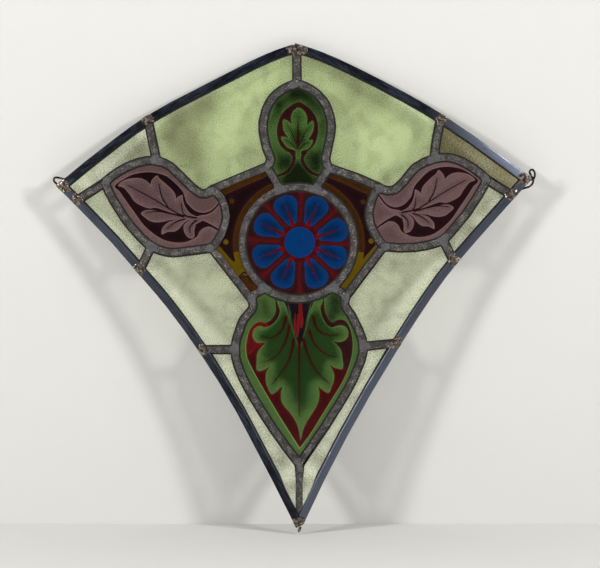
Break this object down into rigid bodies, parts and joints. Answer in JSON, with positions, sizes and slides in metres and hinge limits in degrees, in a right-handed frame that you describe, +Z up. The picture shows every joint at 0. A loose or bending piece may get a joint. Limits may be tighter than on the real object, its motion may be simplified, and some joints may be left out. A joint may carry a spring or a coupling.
{
  "type": "leaded stained-glass panel",
  "caption": "Kite-shaped leaded glass panel for a tracery opening, with a painted rosette, leaves and an acanthus, lead cames, and wire hanging loops at its side corners.",
  "frame": {"origin": "on the flat back of the edge lead at the apex, on the vertical line through the middle of the ring", "axes": "+Z up, -Y out of the painted front, +X to the right as seen from the front"},
  "size_m": [0.4835, 0.007, 0.4896],
  "materials": {
    "inner_lead": "old lead came, dull grey with pale oxide",
    "edge_lead": "newer lead came, blue-grey, polished by handling",
    "wire": "tinned copper wire, darkened",
    "solder": "tin-lead solder, darkened, with bright spots",
    "pale_glass": "pale green cathedral glass with a speckled matt wash",
    "green_glass": "green glass painted with leaves",
    "purple_glass": "mauve glass painted with a leaf on a dark ground",
    "dark_glass": "dark ruby glass with amber stained bands",
    "rosette_glass": "ruby glass with blue enamel petals"
  },
  "bodies": {
    "root": {"came_apex_upright": "inner_lead", "came_crown_left": "inner_lead", "came_crown_right": "inner_lead", "came_diagonal_lower_left": "inner_lead", "came_diagonal_lower_right": "inner_lead", "came_diagonal_upper_left": "inner_lead", "came_diagonal_upper_right": "inner_lead", "came_foot_upright": "inner_lead", "came_heart_left": "inner_lead", "came_heart_right": "inner_lead", "came_knee_left": "inner_lead", "came_knee_right": "inner_lead", "came_leaf_left_inner": "inner_lead", "came_leaf_left_lower": "inner_lead", "came_leaf_left_upper": "inner_lead", "came_leaf_right_inner": "inner_lead", "came_leaf_right_lower": "inner_lead", "came_leaf_right_upper": "inner_lead", "came_neck_left": "inner_lead", "came_neck_right": "inner_lead", "came_ring": "inner_lead", "came_short_heart_left": "inner_lead", "came_short_heart_right": "inner_lead", "came_short_lower_left": "inner_lead", "came_short_lower_right": "inner_lead", "came_short_tip_left": "inner_lead", "came_short_tip_right": "inner_lead", "came_short_upper_left": "inner_lead", "came_short_upper_right": "inner_lead", "edge_came_lower_left": "edge_lead", "edge_came_lower_right": "edge_lead", "edge_came_upper_left": "edge_lead", "edge_came_upper_right": "edge_lead", "glass_crown": "green_glass", "glass_foot_left": "pale_glass", "glass_foot_right": "pale_glass", "glass_heart": "green_glass", "glass_leaf_left": "purple_glass", "glass_leaf_right": "purple_glass", "glass_lower_left": "pale_glass", "glass_lower_right": "pale_glass", "glass_rosette": "rosette_glass", "glass_side_left": "pale_glass", "glass_side_right": "pale_glass", "glass_spandrel_left": "dark_glass", "glass_spandrel_left_fragment": "dark_glass", "glass_spandrel_right": "dark_glass", "glass_top_left": "pale_glass", "glass_top_right": "pale_glass", "glass_upper_left": "pale_glass", "glass_upper_right": "pale_glass", "solder_foot": "solder", "wire_loop_left": "wire", "wire_loop_right": "wire"}
  },
  "joints": []
}
